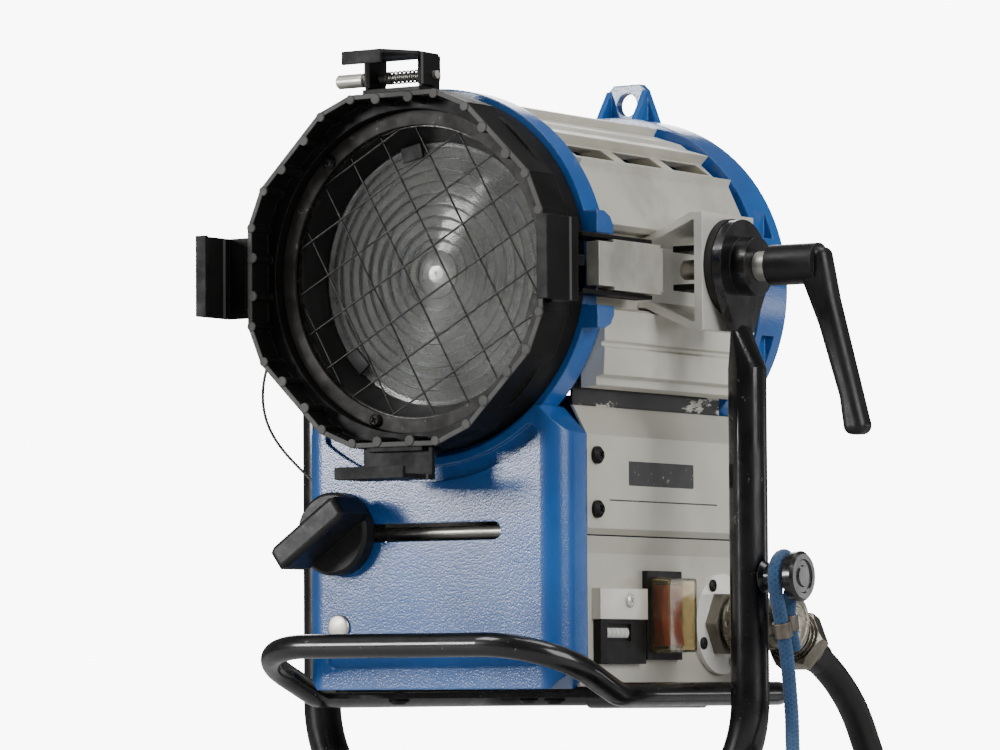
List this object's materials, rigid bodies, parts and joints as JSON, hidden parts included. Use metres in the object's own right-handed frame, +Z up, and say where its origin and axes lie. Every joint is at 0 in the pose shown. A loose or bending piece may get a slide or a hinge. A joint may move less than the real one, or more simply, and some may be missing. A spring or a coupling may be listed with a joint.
{
  "type": "fresnel spotlight",
  "caption": "Compact fresnel spotlight head with a hinged lens door and accessory ears, tilting in a tubular stirrup with a stand spigot, and a coiled feeder cable.",
  "frame": {"origin": "centre of the spigot's shoulder, where the 28 mm pin leaves the stirrup's boss", "axes": "+Z up; the lamp shines along -Y; +X is the side with the clamping lever, the switch and the cable"},
  "size_m": [0.3367, 0.3229, 0.6217],
  "materials": {
    "black_paint": "gloss black enamel over steel tube, chipped at the edges",
    "black_casting": "satin black paint on cast aluminium, worn at the edges",
    "spigot_steel": "bright zinc-plated steel",
    "plain_steel": "zinc-plated steel",
    "black_steel": "blackened steel",
    "blue_paint": "blue crackle paint on cast aluminium",
    "shell_aluminium": "satin extruded aluminium",
    "silver_panel": "satin anodised aluminium sheet",
    "bracket_aluminium": "brushed aluminium",
    "brake_rubber": "hard black rubber",
    "black_plastic": "moulded black plastic",
    "display": "black plastic with a pale digit window",
    "clear_cover": "clear, slightly yellowed plastic",
    "red_rocker": "red plastic",
    "inlet_metal": "dark olive plated brass",
    "nickel": "worn nickel plating",
    "inner_metal": "plain aluminium",
    "mirror_metal": "polished aluminium mirror",
    "lamp_glass": "clear quartz over a ceramic base",
    "lens_glass": "pressed fresnel glass, stippled behind",
    "igniter_case": "potted plastic case",
    "ring_grey": "grey enamelled ring",
    "seat_grey": "pressed aluminium",
    "guard_wire": "bright steel wire",
    "spring_steel": "spring steel",
    "cable_rubber": "smooth black rubber sheath",
    "strap_web": "black webbing with a steel ring",
    "cord_braid": "blue braided polyester",
    "crimp_metal": "dull crimped metal"
  },
  "bodies": {
    "stirrup": {"stirrup": "black_paint", "spigot": "spigot_steel", "pivot_bolt": "plain_steel", "cable_run": "cable_rubber", "cable_coil": "cable_rubber", "cable_tail": "cable_rubber", "coil_strap": "strap_web", "far_plug": "nickel", "tie_cord": "cord_braid", "tie_ferrules": "crimp_metal"},
    "clamp": {"clamp_stud": "plain_steel", "lever_spring": "spring_steel"},
    "lever": {"tilt_lever": "black_plastic"},
    "head": {"front_casting": "blue_paint", "rear_casting": "blue_paint", "rear_cover": "blue_paint", "ribbed_shell": "shell_aluminium", "name_panel": "silver_panel", "control_panel": "silver_panel", "left_panels": "silver_panel", "bottom_plate": "black_casting", "bumper": "black_paint", "pivot_brackets": "bracket_aluminium", "clamp_nuts": "black_steel", "brake_discs": "brake_rubber", "head_screws": "black_steel", "hour_counter": "bracket_aluminium", "counter_display": "display", "switch_base": "black_plastic", "switch_cover": "clear_cover", "inlet": "inlet_metal", "cable_plug": "nickel", "guide_rods": "plain_steel", "chassis": "inner_metal", "igniter": "igniter_case", "safety_switch": "black_plastic", "hinge_pin": "plain_steel", "door_wire": "plain_steel"},
    "rocker": {"rocker_switch": "red_rocker"},
    "coupling": {"coupling_ring": "nickel"},
    "slider": {"focus_slider": "inner_metal"},
    "knob": {"focus_knob": "black_plastic"},
    "crank": {"focus_crank": "plain_steel"},
    "sled": {"lamp_sled": "inner_metal", "reflector": "mirror_metal", "lamp": "lamp_glass"},
    "door": {"door_frame": "black_casting", "lens_ring": "ring_grey", "ring_screws": "black_steel", "wire_guard": "guard_wire", "lens_seat": "seat_grey", "lens": "lens_glass", "accessory_ears": "black_casting", "catch_base": "black_steel", "catch_spring": "spring_steel", "latch_bracket": "black_casting"},
    "flap": {"catch_flap": "black_casting"},
    "button": {"catch_button": "plain_steel"},
    "latch": {"latch_plate": "plain_steel"},
    "plunger": {"safety_plunger": "plain_steel"}
  },
  "joints": [
    {"name": "tilt", "type": "hinge", "parent": "stirrup", "child": "head", "pos_m": [0, 0, 0.3], "axis": [1, 0, 0], "range_deg": [-10, 45], "deforming": ["cable_run"]},
    {"name": "clamp_turn", "type": "hinge", "parent": "stirrup", "child": "clamp", "pos_m": [0.135, 0, 0.3], "axis": [1, 0, 0], "range_deg": [-60, 60]},
    {"name": "lever_pull", "type": "slide", "parent": "clamp", "child": "lever", "axis": [1, 0, 0], "range_m": [0, 0.005], "stiffness_N_per_m": 600, "springref_m": -0.005, "deforming": ["lever_spring"]},
    {"name": "door_swing", "type": "hinge", "parent": "head", "child": "door", "pos_m": [-0.098, -0.082, 0.2975], "axis": [0, 0, -1], "range_deg": [0, 110]},
    {"name": "latch_lift", "type": "hinge", "parent": "door", "child": "latch", "pos_m": [0.095, -0.072, 0.2975], "axis": [0, 0, -1], "range_deg": [0, 12], "stiffness_Nm_per_rad": 0.4, "springref_deg": -11.46},
    {"name": "flap_open", "type": "hinge", "parent": "door", "child": "flap", "pos_m": [0, -0.112, 0.392], "axis": [-1, 0, 0], "range_deg": [0, 90]},
    {"name": "button_push", "type": "slide", "parent": "door", "child": "button", "axis": [1, 0, 0], "range_m": [0, 0.004], "stiffness_N_per_m": 700, "springref_m": -0.004, "deforming": ["catch_spring"]},
    {"name": "rocker_tip", "type": "hinge", "parent": "head", "child": "rocker", "pos_m": [0.072, 0.0085, 0.1295], "axis": [0, 1, 0], "range_deg": [-8, 8]},
    {"name": "coupling_turn", "type": "hinge", "parent": "head", "child": "coupling", "pos_m": [0.088, 0.065, 0.1257], "axis": [1, 0, 0], "range_deg": [0, 60]},
    {"name": "focus_slide", "type": "slide", "parent": "head", "child": "slider", "axis": [1, 0, 0], "range_m": [0, 0.075]},
    {"name": "knob_turn", "type": "hinge", "parent": "slider", "child": "knob", "pos_m": [-0.053, -0.102, 0.1705], "axis": [0, 1, 0], "range_deg": [-90, 90]},
    {"name": "crank_swing", "type": "hinge", "parent": "head", "child": "crank", "pos_m": [-0.0155, 0.006, 0.182], "axis": [0, 0, 1], "range_deg": [0, 56.5]},
    {"name": "sled_slide", "type": "slide", "parent": "head", "child": "sled", "axis": [0, 1, 0], "range_m": [0, 0.059]},
    {"name": "plunger_press", "type": "slide", "parent": "head", "child": "plunger", "axis": [0, 1, 0], "range_m": [0, 0.0015], "stiffness_N_per_m": 200, "springref_m": -0.002}
  ],
  "couplings": [
    {"joint": "crank_swing", "follows": "focus_slide", "rad_per_m": 13.115},
    {"joint": "sled_slide", "follows": "focus_slide", "ratio": 0.7857}
  ]
}
